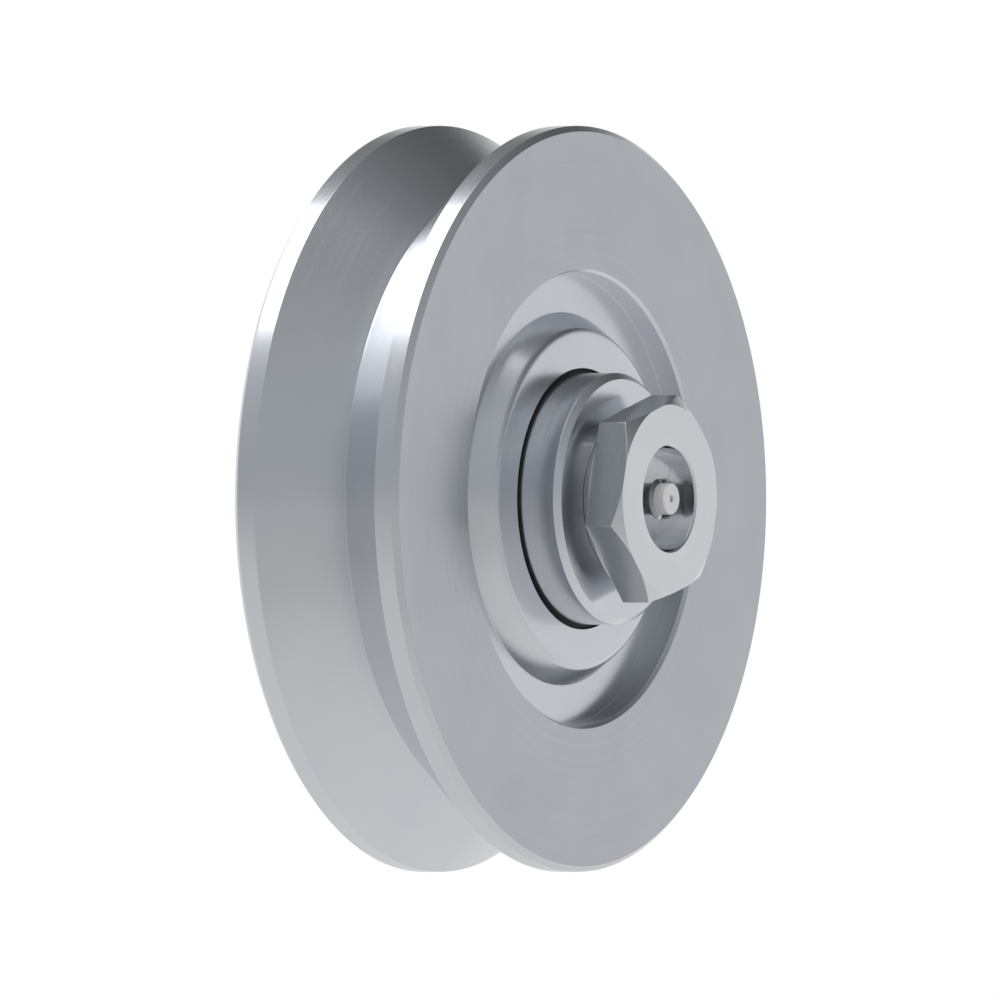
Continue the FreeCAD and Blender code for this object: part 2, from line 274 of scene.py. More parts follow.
def rounded(outline, closed=False, steps=3):
    """An outline of (radius, along, round) with its corners rounded, as 2D points."""
    places = [Vector(point[:2]) for point in outline]
    count = len(places)
    smooth = []
    for index, place in enumerate(places):
        radius = outline[index][2]
        at_end = not closed and index in (0, count - 1)
        if at_end or radius <= 0:
            smooth.append(place)
            continue
        smooth += arc_points(
            places[index - 1], place, places[(index + 1) % count], radius, steps
        )
    return smooth


def swept_rings(bm, outlines, angles, closed_outline):
    """Vertices and faces of outlines that each stand at their own angle round Y."""
    rings = []
    for outline, angle in zip(outlines, angles):
        cosine, sine = math.cos(angle), math.sin(angle)
        ring = [
            bm.verts.new((point[0] * cosine * MM, point[1] * MM, point[0] * sine * MM))
            for point in outline
        ]
        rings.append(ring)
    for ring, following in zip(rings, rings[1:] + rings[:1]):
        ahead = ring[1:] + ring[:1] if closed_outline else ring[1:]
        following_ahead = following[1:] + following[:1] if closed_outline else following[1:]
        for corners in zip(ring, ahead, following_ahead, following):
            bm.faces.new(corners)


def finish_mesh(name, bm):
    """Turns a bmesh into a smooth shaded object whose flat faces still look flat."""
    same_place = 0.0004 * MM
    no_length = 0.0002 * MM
    sharp = math.radians(40)
    bmesh.ops.remove_doubles(bm, verts=bm.verts, dist=same_place)
    bmesh.ops.dissolve_degenerate(bm, edges=bm.edges, dist=no_length)
    bmesh.ops.recalc_face_normals(bm, faces=bm.faces)
    mesh = bpy.data.meshes.new(name)
    bm.to_mesh(mesh)
    bm.free()
    mesh.shade_smooth()
    mesh.set_sharp_from_angle(angle=sharp)
    piece = bpy.data.objects.new(name, mesh)
    bpy.context.scene.collection.objects.link(piece)
    weighted = piece.modifiers.new("Flat faces stay flat", "WEIGHTED_NORMAL")
    weighted.keep_sharp = True
    return piece


def even_angles(count):
    """Angles that share a full turn evenly."""
    return [2 * math.pi * index / count for index in range(count)]


def turned_piece(name, outline, steps):
    """A piece turned about Y from one closed outline of (radius, along, round)."""
    bm = bmesh.new()
    swept_rings(bm, [rounded(outline, closed=True)] * steps, even_angles(steps), True)
    return finish_mesh(name, bm)


def side_sign(side):
    """Which way along Y a side lies: the hexagon's is the front."""
    return 1 if side == "rear" else -1


def mirrored(outline, sign):
    """The outline on the +Y side, or its mirror image on the -Y side."""
    return [(radius, sign * along, rounding) for radius, along, rounding in outline]


def paint(piece, material_index, chosen):
    """Gives a material to the faces that chosen picks by distance from the axis and along it."""
    for polygon in piece.data.polygons:
        centre = polygon.center / MM
        if chosen(math.hypot(centre.x, centre.z), centre.y):
            polygon.material_index = material_index


# Materials

# A Mix node has one pair of sockets for each kind of value
MIX_NUMBERS = (2, 3)
MIX_COLOURS = (6, 7)
MIXED_COLOUR = 2


def add_node(tree, kind, inputs=None, **settings):
    """Adds a node with its settings. inputs gives each socket a value or another output."""
    node = tree.nodes.new(kind)
    for name, value in settings.items():
        setattr(node, name, value)
    for socket, value in (inputs or {}).items():
        if isinstance(value, bpy.types.NodeSocket):
            tree.links.new(value, node.inputs[socket])
        else:
            node.inputs[socket].default_value = value
    return node


def new_material(name):
    """An empty node material with its Principled shader on the output."""
    material = bpy.data.materials.new(name)
    material.use_nodes = True
    tree = material.node_tree
    tree.nodes.clear()
    shader = add_node(tree, "ShaderNodeBsdfPrincipled")
    output = add_node(tree, "ShaderNodeOutputMaterial", {"Surface": shader.outputs["BSDF"]})
    return material, tree, shader, output


def per_metre(millimetres):
    """Texture scale that makes a pattern repeat about every so many millimetres."""
    return 1 / (millimetres * MM)


def turned_coordinates(tree):
    """Place on the piece, and its radius and place along the axis, which tool marks follow."""
    place = add_node(tree, "ShaderNodeTexCoord").outputs["Object"]
    split = add_node(tree, "ShaderNodeSeparateXYZ", {0: place})
    flat = add_node(
        tree, "ShaderNodeCombineXYZ", {"X": split.outputs["X"], "Y": split.outputs["Z"]}
    )
    away = add_node(tree, "ShaderNodeVectorMath", {0: flat.outputs[0]}, operation="LENGTH")
    outline = add_node(
        tree, "ShaderNodeCombineXYZ", {"X": away.outputs["Value"], "Y": split.outputs["Y"]}
    )
    return place, outline.outputs[0]


def turned_steel(
    name, colour, hue, roughness, marks_mm, mark_depth, grain_mm, grain_depth, metallic=1.0
):
    """Turned steel: soft sheen, faint rings from the tool and a fine crystal grain."""
    material, tree, shader, _ = new_material(name)
    place, outline = turned_coordinates(tree)
    height = 0.02 * MM
    spread = 0.03
    patches = add_node(
        tree,
        "ShaderNodeTexNoise",
        {"Vector": place, "Scale": per_metre(14), "Detail": 3.0, "Roughness": 0.55},
    )
    patch_share = add_node(
        tree,
        "ShaderNodeMapRange",
        {"Value": patches.outputs["Fac"], "From Min": 0.3, "From Max": 0.7},
    )
    tinted = (*[channel * share for channel, share in zip(colour[:3], hue)], 1.0)
    shade = add_node(
        tree,
        "ShaderNodeMix",
        {"Factor": patch_share.outputs["Result"], MIX_COLOURS[0]: colour, MIX_COLOURS[1]: tinted},
        data_type="RGBA",
    )
    # Real tool rings are too fine to show, so these are drawn coarser
    marks = add_node(
        tree,
        "ShaderNodeTexNoise",
        {"Vector": outline, "Scale": per_metre(marks_mm), "Detail": 2.0, "Roughness": 0.6},
        noise_dimensions="2D",
    )
    # Crystals of zinc and steel are finer still, and drawn coarser too
    grain = add_node(
        tree,
        "ShaderNodeTexNoise",
        {"Vector": place, "Scale": per_metre(grain_mm), "Detail": 2.0, "Roughness": 0.7},
    )
    dull = add_node(
        tree,
        "ShaderNodeMapRange",
        {
            "Value": marks.outputs["Fac"],
            "From Min": 0.25,
            "From Max": 0.75,
            "To Min": roughness - spread,
            "To Max": roughness + spread,
        },
    )
    grained = add_node(
        tree,
        "ShaderNodeBump",
        {"Height": grain.outputs["Fac"], "Strength": grain_depth, "Distance": height},
    )
    ringed = add_node(
        tree,
        "ShaderNodeBump",
        {
            "Height": marks.outputs["Fac"],
            "Strength": mark_depth,
            "Distance": height,
            "Normal": grained.outputs["Normal"],
        },
    )
    tree.links.new(shade.outputs[MIXED_COLOUR], shader.inputs["Base Color"])
    tree.links.new(dull.outputs["Result"], shader.inputs["Roughness"])
    tree.links.new(ringed.outputs["Normal"], shader.inputs["Normal"])
    shader.inputs["Metallic"].default_value = metallic
    return material


def tread_steel():
    """Zinc plated turned steel of the tread: satin, with a blurred window of light."""
    return turned_steel(
        "zinc_plated_turned_steel",
        finish_colours().tread,
        hue=(0.955, 0.96, 0.975),
        roughness=0.24,
        marks_mm=0.5,
        mark_depth=0.05,
        grain_mm=0.35,
        grain_depth=0.10,
    )


def flange_steel():
    """Zinc plated outer ring of the wheel's faces: a darker grey than the tread."""
    return turned_steel(
        "zinc_plated_faced_steel",
        finish_colours().flange,
        hue=(0.95, 0.955, 0.98),
        roughness=0.24,
        marks_mm=0.6,
        mark_depth=0.04,
        grain_mm=0.35,
        grain_depth=0.06,
    )


def spacer_steel():
    """Zinc plated fine turned steel of the spacers: satin, with closer rings."""
    return turned_steel(
        "zinc_plated_fine_turned_steel",
        finish_colours().spacer,
        hue=(0.95, 0.955, 0.97),
        roughness=0.24,
        marks_mm=0.4,
        mark_depth=0.04,
        grain_mm=0.3,
        grain_depth=0.08,
    )


def bolt_steel():
    """Zinc plated forged bolt steel, machined on head and thread: pale and a little glossy."""
    return turned_steel(
        "zinc_plated_bolt_steel",
        finish_colours().bolt,
        hue=(0.95, 0.955, 0.97),
        roughness=0.2,
        marks_mm=0.5,
        mark_depth=0.05,
        grain_mm=0.3,
        grain_depth=0.08,
    )


def bored_steel():
    """Bored recess of the bolt's head: plated and bright, so it mirrors its own wall."""
    return turned_steel(
        "zinc_plated_bored_steel",
        hex_colour("#e6e7e9"),
        hue=(0.97, 0.975, 0.985),
        roughness=0.1,
        marks_mm=0.5,
        mark_depth=0.04,
        grain_mm=0.3,
        grain_depth=0.04,
    )


def shaded_collar_steel():
    """Collar under the bolt's head: a darker and duller grey than the zinc, painted shade for the
    narrow gap between spacer and head.
    """
    return turned_steel(
        "collar_painted_shade_steel",
        hex_colour("#a8a9ad"),
        hue=(0.9, 0.92, 0.95),
        roughness=0.35,
        marks_mm=0.5,
        mark_depth=0.03,
        grain_mm=0.3,
        grain_depth=0.05,
    )


def nipple_painted_light_white():
    """Zinc plating drawn near white and barely metallic, painted light that keeps the nipple
    bright deep in its recess: sharp lights over a pale haze.
    """
    return turned_steel(
        "nipple_white_painted_light",
        finish_colours().nipple,
        hue=(0.98, 0.975, 0.965),
        roughness=0.09,
        marks_mm=0.25,
        mark_depth=0.03,
        grain_mm=0.2,
        grain_depth=0.02,
        metallic=0.05,
    )


def nipple_neck_painted_shade():
    """Turned neck and flange of the nipple: a darker grey than its plated tip, painted shade for
    the dark wall that the flange mirrors.
    """
    return turned_steel(
        "nipple_neck_shade_steel",
        hex_colour("#9c9da0"),
        hue=(0.96, 0.965, 0.975),
        roughness=0.15,
        marks_mm=0.25,
        mark_depth=0.03,
        grain_mm=0.2,
        grain_depth=0.02,
    )


def ground_steel():
    """Ground and polished bearing steel: almost a mirror, with very fine rings."""
    return turned_steel(
        "ground_bearing_steel",
        hex_colour("#cfcfd0"),
        hue=(0.97, 0.97, 0.98),
        roughness=0.14,
        marks_mm=0.2,
        mark_depth=0.03,
        grain_mm=0.2,
        grain_depth=0.02,
    )


def sheet_steel():
    """Pressed bright sheet steel of the bearing shields: smooth, with soft reflections."""
    return turned_steel(
        "pressed_bright_sheet_steel",
        hex_colour("#c8c9cb"),
        hue=(0.97, 0.97, 0.98),
        roughness=0.22,
        marks_mm=0.8,
        mark_depth=0.02,
        grain_mm=0.3,
        grain_depth=0.05,
    )


def phosphated_steel():
    """Phosphated spring steel: dark grey, dull and finely crystalline."""
    return turned_steel(
        "phosphated_spring_steel",
        hex_colour("#3b3c3f"),
        hue=(0.8, 0.82, 0.85),
        roughness=0.55,
        marks_mm=0.8,
        mark_depth=0.05,
        grain_mm=0.25,
        grain_depth=0.35,
    )


def drawn_wire():
    """Drawn spring wire: mid grey with a soft shine."""
    return turned_steel(
        "drawn_spring_wire",
        hex_colour("#a9aaad"),
        hue=(0.94, 0.94, 0.95),
        roughness=0.3,
        marks_mm=0.3,
        mark_depth=0.03,
        grain_mm=0.2,
        grain_depth=0.05,
    )


def moulded(name, colour, lighter, roughness, grain_mm, grain_depth, specular):
    """A moulded skin with slight patches and a fine grain."""
    material, tree, shader, _ = new_material(name)
    place = add_node(tree, "ShaderNodeTexCoord").outputs["Object"]
    patches = add_node(
        tree, "ShaderNodeTexNoise", {"Vector": place, "Scale": per_metre(5), "Detail": 3.0}
    )
    shade = add_node(
        tree,
        "ShaderNodeMix",
        {"Factor": patches.outputs["Fac"], MIX_COLOURS[0]: colour, MIX_COLOURS[1]: lighter},
        data_type="RGBA",
    )
    # A mould's grain is too fine to show, so it is drawn coarser
    grain = add_node(
        tree, "ShaderNodeTexNoise", {"Vector": place, "Scale": per_metre(grain_mm), "Detail": 2.0}
    )
    bump = add_node(
        tree,
        "ShaderNodeBump",
        {"Height": grain.outputs["Fac"], "Strength": grain_depth, "Distance": 0.03 * MM},
    )
    tree.links.new(shade.outputs[MIXED_COLOUR], shader.inputs["Base Color"])
    tree.links.new(bump.outputs["Normal"], shader.inputs["Normal"])
    shader.inputs["Roughness"].default_value = roughness
    shader.inputs["Specular IOR Level"].default_value = specular
    return material


def seal_rubber():
    """Moulded nitrile rubber: black and matt, with a dusty bloom."""
    return moulded(
        "moulded_nitrile_rubber",
        finish_colours().rubber,
        hex_colour("#1c1c1d"),
        roughness=0.62,
        grain_mm=0.25,
        grain_depth=0.3,
        specular=0.35,
    )


def cage_polyamide():
    """Moulded polyamide of the bearing cages: dark, warm and slightly waxy."""
    return moulded(
        "moulded_polyamide",
        hex_colour("#4a453c"),
        hex_colour("#544e45"),
        roughness=0.45,
        grain_mm=0.3,
        grain_depth=0.15,
        specular=0.5,
    )


# Pieces


def wheel_outline(wheel):
    """Half outline of the wheel from its middle rib out to the end of a land."""
    radius = wheel.diameter / 2
    face = wheel.width / 2
    recess = wheel.recess_diameter / 2
    floor = face - wheel.recess_depth
    bore = wheel.hub_bore / 2
    edge = wheel.edge_round
    land_end = face - wheel.rim_chamfer - wheel.land_width
    return [
        (wheel.rib_bore / 2, wheel.rib_width / 2, edge),
        (bore, wheel.rib_width / 2, 0.0),
        (bore, face, edge),
        (wheel.hub_end / 2, face, wheel.hub_round),
        (wheel.hub_foot / 2, floor, 0.08),
        (recess, floor, 0.1),
        (recess, face - wheel.recess_chamfer, edge),
        (recess + wheel.recess_chamfer, face, edge),
        (radius - wheel.rim_chamfer, face, edge),
        (radius, face - wheel.rim_chamfer, edge),
        (radius, land_end, edge),
    ]


class WHEEL_OT_turned_wheel(bpy.types.Operator):
    """Turn the flanged wheel with its V groove"""

    bl_idname = "wheel.turned_wheel"
    bl_label = "V groove wheel"

    def execute(self, context):
        sizes = sizes_of("wheel")
        half = wheel_outline(sizes)
        bottom = (sizes.diameter / 2 - sizes.groove_depth, 0.0, 0.08)
        outline = mirrored(half, 1) + [bottom] + list(reversed(mirrored(half, -1)))
        wheel = turned_piece("v_groove_wheel", outline, sizes.steps_round)
        wheel.data.materials.append(tread_steel())
        wheel.data.materials.append(flange_steel())
        face = sizes.width / 2
        face_start = sizes.recess_diameter / 2 + sizes.recess_chamfer - 0.1
        paint(wheel, 1, lambda away, along: away > face_start and abs(abs(along) - face) < 0.02)
        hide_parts("wheel_body")
        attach(wheel, "wheel")
        return {"FINISHED"}


def seal_groove(spacer):
    """Where the seal's groove starts and ends along the axle, on the +Y side."""
    end = sizes_of("wheel").width / 2 - spacer.seal_set_back
    return end - spacer.seal_width - 2 * spacer.seal_side_play, end


def spacer_outline(side, spacer, edge):
    """Outline of a spacer, from its boss on the inner ring out to its end face."""
    start = SPACER_LOW.y
    end = SPACER_HIGH.y
    outside = SPACER_HIGH.x
    bore = spacer.bore / 2
    boss = spacer.boss / 2
    pocket = spacer.pocket / 2
    pocket_floor = end - spacer.pocket_depth
    groove_start, groove_end = seal_groove(spacer)
    outline = [
        (bore, start, 0.0),
        (boss, start, edge),
        (boss, start + spacer.running_gap, 0.0),
        (outside, start + spacer.running_gap, edge),
        (outside, groove_start, edge),
        (outside - spacer.seal_depth, groove_start, 0.0),
        (outside - spacer.seal_depth, groove_end, 0.0),
        (outside, groove_end, edge),
        (outside, end - spacer.chamfer, edge),
        (outside - spacer.chamfer, end, edge),
    ]
    if side == "front":
        return outline + [(bore, end, edge)]
    return outline + [(pocket, end, edge), (pocket, pocket_floor, 0.1), (bore, pocket_floor, edge)]


class WHEEL_OT_spacers(bpy.types.Operator):
    """Turn the two spacers that clamp the bearings"""

    bl_idname = "wheel.spacers"
    bl_label = "Spacers"

    def execute(self, context):
        wheel = sizes_of("wheel")
        sizes = sizes_of("spacer")
        steel = spacer_steel()
        for side in ("front", "rear"):
            outline = mirrored(spacer_outline(side, sizes, wheel.edge_round), side_sign(side))
            spacer = turned_piece(f"{side}_turned_spacer", outline, wheel.steps_round)
            spacer.data.materials.append(steel)
            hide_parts(f"{side}_spacer")
            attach(spacer, "axle")
        return {"FINISHED"}


def seal_outline(spacer, hub_bore):
    """Outline of a seal that fills its groove and has a lip close to the hub's bore."""
    groove_start, groove_end = seal_groove(spacer)
    start = groove_start + spacer.seal_side_play
    end = groove_end - spacer.seal_side_play
    inside = SPACER_HIGH.x - spacer.seal_depth
    lip = hub_bore / 2 - spacer.seal_lip_gap
    return [
        (inside, start, 0.0),
        (SPACER_HIGH.x - spacer.seal_lip_gap, start, 0.08),
        (lip, end - spacer.seal_lip_width, 0.1),
        (lip, end, 0.15),
        (SPACER_HIGH.x + 0.2, end - spacer.seal_hollow, 0.1),
        (SPACER_HIGH.x - 0.35, end, 0.15),
        (inside, end, 0.0),
    ]


class WHEEL_OT_dust_seals(bpy.types.Operator):
    """Mould the rubber rings between hub and spacers"""

    bl_idname = "wheel.dust_seals"
    bl_label = "Dust seals"

    def execute(self, context):
        wheel = sizes_of("wheel")
        outline = seal_outline(sizes_of("spacer"), wheel.hub_bore)
        rubber = seal_rubber()
        for side in ("front", "rear"):
            seal = turned_piece(
                f"{side}_moulded_seal", mirrored(outline, side_sign(side)), wheel.steps_round
            )
            seal.data.materials.append(rubber)
            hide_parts(f"{side}_dust_seal")
            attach(seal, "axle")
        return {"FINISHED"}


def hexagon_radius(angle, bolt):
    """Distance from the axis to the hexagon with its rounded corners, in this direction."""
    sixth = math.radians(60)
    from_corner = (angle - bolt.corner_angle + sixth / 2) % sixth - sixth / 2
    flat = bolt.across_flats / 2
    centre = (flat - bolt.corner_round) / math.cos(sixth / 2)
    tangent = sixth / 2 - math.atan((flat - bolt.corner_round) * math.tan(sixth / 2) / flat)
    if abs(from_corner) >= tangent:
        return flat / math.cos(sixth / 2 - abs(from_corner))
    reach = bolt.corner_round**2 - (centre * math.sin(from_corner)) ** 2
    return centre * math.cos(from_corner) + math.sqrt(max(reach, 0.0))


def bolt_angles(bolt):
    """Even angles round the bolt, with extra ones where the hexagon's corners are rounded."""
    step = 0.21
    angles = set(even_angles(bolt.steps_round))
    for corner in range(6):
        middle = (bolt.corner_angle + math.radians(60 * corner)) % (2 * math.pi)
        angles.update(middle + math.radians(step * offset) for offset in range(-2, 3))
    return sorted(angles)


def bolt_outline(angle, bolt):
    """The bolt's outline at this angle, from the end of its grease bore to the thread's relief."""
    edge = bolt.edge_round
    head_front = BOLT_LOW.y
    head_back = head_front + bolt.head_height
    washer_back = head_back + bolt.washer_height
    spacer_end = SPACER_HIGH.y
    recess = bolt.recess_diameter / 2
    floor = head_front + bolt.recess_depth
    stem_end = floor + bolt.stem_depth
    bore = bolt.grease_bore / 2
    shank = bolt.shank / 2
    groove = bolt.clip_groove / 2
    relief = bolt.thread_end / 2
    corner = hexagon_radius(angle, bolt)
    face = min(bolt.head_face / 2, corner - 0.03)
    chamfer = (corner - face) * math.tan(bolt.head_chamfer)
    bore_end = 2.0
    drill_point = 1.2
    return rounded([
        (0.0, bore_end + drill_point, 0.0),
        (bore, bore_end, 0.0),
        (bore, stem_end, 0.0),
        (bolt.stem_bore / 2, stem_end, 0.0),
        (bolt.stem_bore / 2, floor, 0.0),
        (recess, floor, 0.1),
        (recess, head_front + bolt.recess_chamfer, 0.08),
        (recess + bolt.recess_chamfer, head_front, 0.08),
        (face, head_front, edge),
        (corner, head_front + chamfer, edge),
        (corner, head_back, edge),
        (bolt.washer_face / 2, head_back, 0.0),
        (bolt.washer_face / 2, washer_back, edge),
        (bolt.collar / 2, washer_back, 0.15),
        (bolt.collar / 2, -spacer_end, edge),
        (shank, -spacer_end, 0.0),
        (shank, spacer_end - bolt.clip_groove_start, 0.05),
        (groove, spacer_end - bolt.clip_groove_start, 0.0),
        (groove, spacer_end - bolt.clip_groove_end, 0.0),
        (shank, spacer_end - bolt.clip_groove_end, 0.05),
        (shank, spacer_end, edge),
        (relief, spacer_end, 0.3),
        (relief, spacer_end + bolt.relief_length, 0.0),
    ])


def thread_rows(pitch, start, end):
    """Places along one full helix start, with what part of the depth each is cut to."""
    crest = pitch / 8
    root = pitch / 4
    flank = (pitch - crest - root) / 2
    ease = 0.06
    eased_depth = 0.97
    root_start = crest + flank
    root_end = root_start + root
    profile = [
        (0.0, 0.0),
        (crest, 0.0),
        (crest + flank / 3, 1 / 3),
        (crest + 2 * flank / 3, 2 / 3),
        (root_start - ease, eased_depth),
        (root_start + root * 0.3, 1.0),
        (root_start + root * 0.7, 1.0),
        (root_end + ease, eased_depth),
        (root_end + flank / 3, 2 / 3),
        (root_end + 2 * flank / 3, 1 / 3),
    ]
    turns = math.ceil((end - start) / pitch) + 2
    rows = []
    for turn in range(-1, turns):
        rows += [(start + turn * pitch + offset, depth) for offset, depth in profile]
    return rows, len(profile)


def cut_thread(bm, angles, bolt):
    """The bolt's right-hand thread, from its relief to its chamfered end."""
    pitch = bolt.thread_pitch
    start = SPACER_HIGH.y + bolt.relief_length
    end = BOLT_HIGH.y
    lowest = bolt.thread_end / 2
    rows, shift = thread_rows(pitch, start, end)
    columns = []
    for angle in angles:
        column = []
        for along, cut in rows:
            climbed = along - pitch * angle / (2 * math.pi) + pitch
            place = min(max(climbed, start), end)
            on_thread = bolt.shank / 2 - cut * bolt.thread_depth
            radius = min(on_thread, lowest + (place - start), lowest + (end - place))
            spot = (radius * math.cos(angle) * MM, place * MM, radius * math.sin(angle) * MM)
            column.append(bm.verts.new(spot))
        columns.append(column)
    pairs = list(zip(columns, columns[1:]))
    # The last column meets the first one a pitch further along
    pairs.append((columns[-1][shift:], columns[0][:-shift]))
    for here, ahead in pairs:
        for corners in zip(here, here[1:], ahead[1:], ahead):
            bm.faces.new(corners)


def close_bolt_end(bm, angles, bolt):
    """The flat end of the thread with its centre drilling."""
    end = BOLT_HIGH.y
    drill_depth = 2.0
    outline = [
        (bolt.thread_end / 2, end, 0.0),
        (2.1, end, 0.1),
        (1.0, end - drill_depth, 0.0),
        (0.0, end - drill_depth - 0.4, 0.0),
    ]
    swept_rings(bm, [rounded(outline)] * len(angles), angles, False)


def paint_bolt(piece, bolt):
    """The second material, the collar's painted shade, goes on the collar behind the head, the
    third into the recess.
    """
    near = 0.01
    collar = bolt.collar / 2 + 0.1
    collar_end = -SPACER_HIGH.y
    collar_start = BOLT_LOW.y + bolt.head_height + bolt.washer_height - 0.05
    recess = bolt.recess_diameter / 2 + near
    recess_floor = BOLT_LOW.y + bolt.recess_depth + near
    paint(piece, 1, lambda away, along: away < collar and collar_start < along < collar_end)
    paint(piece, 2, lambda away, along: away < recess and along < recess_floor)


class WHEEL_OT_axle_bolt(bpy.types.Operator):
    """Forge and thread the hexagon bolt that is the axle"""

    bl_idname = "wheel.axle_bolt"
    bl_label = "Axle bolt"

    def execute(self, context):
        sizes = sizes_of("bolt")
        angles = bolt_angles(sizes)
        bm = bmesh.new()
        swept_rings(bm, [bolt_outline(angle, sizes) for angle in angles], angles, False)
        cut_thread(bm, angles, sizes)
        close_bolt_end(bm, angles, sizes)
        bolt = finish_mesh("hexagon_axle_bolt", bm)
        bolt.data.materials.append(bolt_steel())
        # The collar's darker grey is painted shade for the gap behind the head
        bolt.data.materials.append(shaded_collar_steel())
        bolt.data.materials.append(bored_steel())
        paint_bolt(bolt, sizes)
        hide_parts("axle_bolt")
        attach(bolt, "axle")
        return {"FINISHED"}


def nipple_outline(nipple, seat):
    """Outline of the nipple round its mouth, tip, head, neck, stem and chamber."""
    tip = NIPPLE_LOW.y
    end = NIPPLE_HIGH.y
    return [
        (nipple.mouth / 2, tip, 0.12),
        (nipple.tip / 2, tip, 0.25),
        (nipple.tip / 2, tip + nipple.tip_length, 0.1),
        (nipple.head / 2, tip + nipple.cone_end, 0.06),
        (nipple.head / 2, tip + nipple.head_length, 0.06),
        (nipple.neck / 2, tip + nipple.head_length, 0.15),
        (nipple.neck / 2, seat, 0.1),
        (nipple.stem / 2, seat, 0.0),
        (nipple.stem / 2, end, 0.1),
        (nipple.outlet / 2, end, 0.05),
        (nipple.outlet / 2, tip + nipple.chamber_end, 0.0),
        (nipple.chamber / 2, tip + nipple.chamber_end, 0.0),
        (nipple.chamber / 2, tip + nipple.chamber_start, 0.0),
        (nipple.mouth / 2, tip + nipple.mouth_length, 0.05),
    ]


class WHEEL_OT_grease_nipple(bpy.types.Operator):
    """Turn the grease nipple with its flared head and mouth"""

    bl_idname = "wheel.grease_nipple"
    bl_label = "Grease nipple"

    def execute(self, context):
        sizes = sizes_of("nipple")
        seat = BOLT_LOW.y + sizes_of("bolt").recess_depth
        outline = nipple_outline(sizes, seat)
        nipple = turned_piece("plated_grease_nipple", outline, sizes.steps_round)
        nipple.data.materials.append(nipple_painted_light_white())
        nipple.data.materials.append(nipple_neck_painted_shade())
        tip_end = NIPPLE_LOW.y + sizes.tip_length
        # Neck and flange get the darker grey of painted shade
        paint(nipple, 1, lambda away, along: along > tip_end)
        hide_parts("grease_nipple")
        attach(nipple, "axle")
        return {"FINISHED"}


def wound_wire(name, coil, wire, start, end, turns):
    """A round wire wound about Y with its ends closed, from radii and places in millimetres."""
    steps_per_turn = 24
    wire_sides = 12
    bm = bmesh.new()
    steps = steps_per_turn * turns
    climb = (end - start) / (2 * math.pi * turns)
    rings = []
    for index in range(steps + 1):
        angle = 2 * math.pi * turns * index / steps
        outward = Vector((math.cos(angle), 0.0, math.sin(angle)))
        along = Vector((-coil * math.sin(angle), climb, coil * math.cos(angle)))
        upward = along.normalized().cross(outward)
        centre = outward * coil + Vector((0.0, start + climb * angle, 0.0))
        ring = []
        for turn in even_angles(wire_sides):
            offset = outward * math.cos(turn) + upward * math.sin(turn)
            ring.append(bm.verts.new((centre + offset * wire) * MM))
        rings.append(ring)
    for ring, following in zip(rings, rings[1:]):
        for corners in zip(ring, ring[1:] + ring[:1], following[1:] + following[:1], following):
            bm.faces.new(corners)
    bm.faces.new(rings[0])
    bm.faces.new(rings[-1])
    return finish_mesh(name, bm)


class WHEEL_OT_nipple_spring(bpy.types.Operator):
    """Wind the spring behind the check ball, at its rest length"""

    bl_idname = "wheel.nipple_spring"
    bl_label = "Nipple spring"

    def execute(self, context):
        sizes = sizes_of("nipple")
        wire = sizes.wire / 2
        coil = SPRING_HIGH.x - wire
        start = SPRING_LOW.y + wire
        end = SPRING_HIGH.y - wire
        spring = wound_wire("drawn_nipple_spring", coil, wire, start, end, sizes.turns)
        spring.data.materials.append(drawn_wire())
        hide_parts("nipple_spring")
        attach(spring, "axle")
        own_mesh(spring)
        return {"FINISHED"}


class WHEEL_OT_inner_finishes(bpy.types.Operator):
    """Give the bearings, cages, shields and small CAD pieces their finishes"""

    bl_idname = "wheel.inner_finishes"
    bl_label = "Bearings and small pieces"

    def execute(self, context):
        ground = ground_steel()
        finishes = {
            "bearing_outer_ring": ground,
            "bearing_inner_ring": ground,
            "ball_": ground,
            "check_ball": ground,
            "bearing_shield": sheet_steel(),
            "bearing_cage": cage_polyamide(),
            "distance_tube": spacer_steel(),
            "circlip": phosphated_steel(),
        }
        for name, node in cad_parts.items():
            found = [finish for part, finish in finishes.items() if part in name]
            if not found and not node.hide_render:
                raise RuntimeError(f"{name} has no finish")
            if found:
                node.data.materials.clear()
                node.data.materials.append(found[0])
        return {"FINISHED"}


# Studio


def level_towards(tree, place, towards, between, levels, interpolation_type="LINEAR"):
    """A level that changes as a place or direction turns towards another direction."""
    nearness = add_node(
        tree, "ShaderNodeVectorMath", {0: place, 1: towards}, operation="DOT_PRODUCT"
    )
    level = add_node(
        tree,
        "ShaderNodeMapRange",
        {
            "Value": nearness.outputs["Value"],
            "From Min": between[0],
            "From Max": between[1],
            "To Min": levels[0],
            "To Max": levels[1],
        },
        interpolation_type=interpolation_type,
    )
    return level.outputs["Result"]


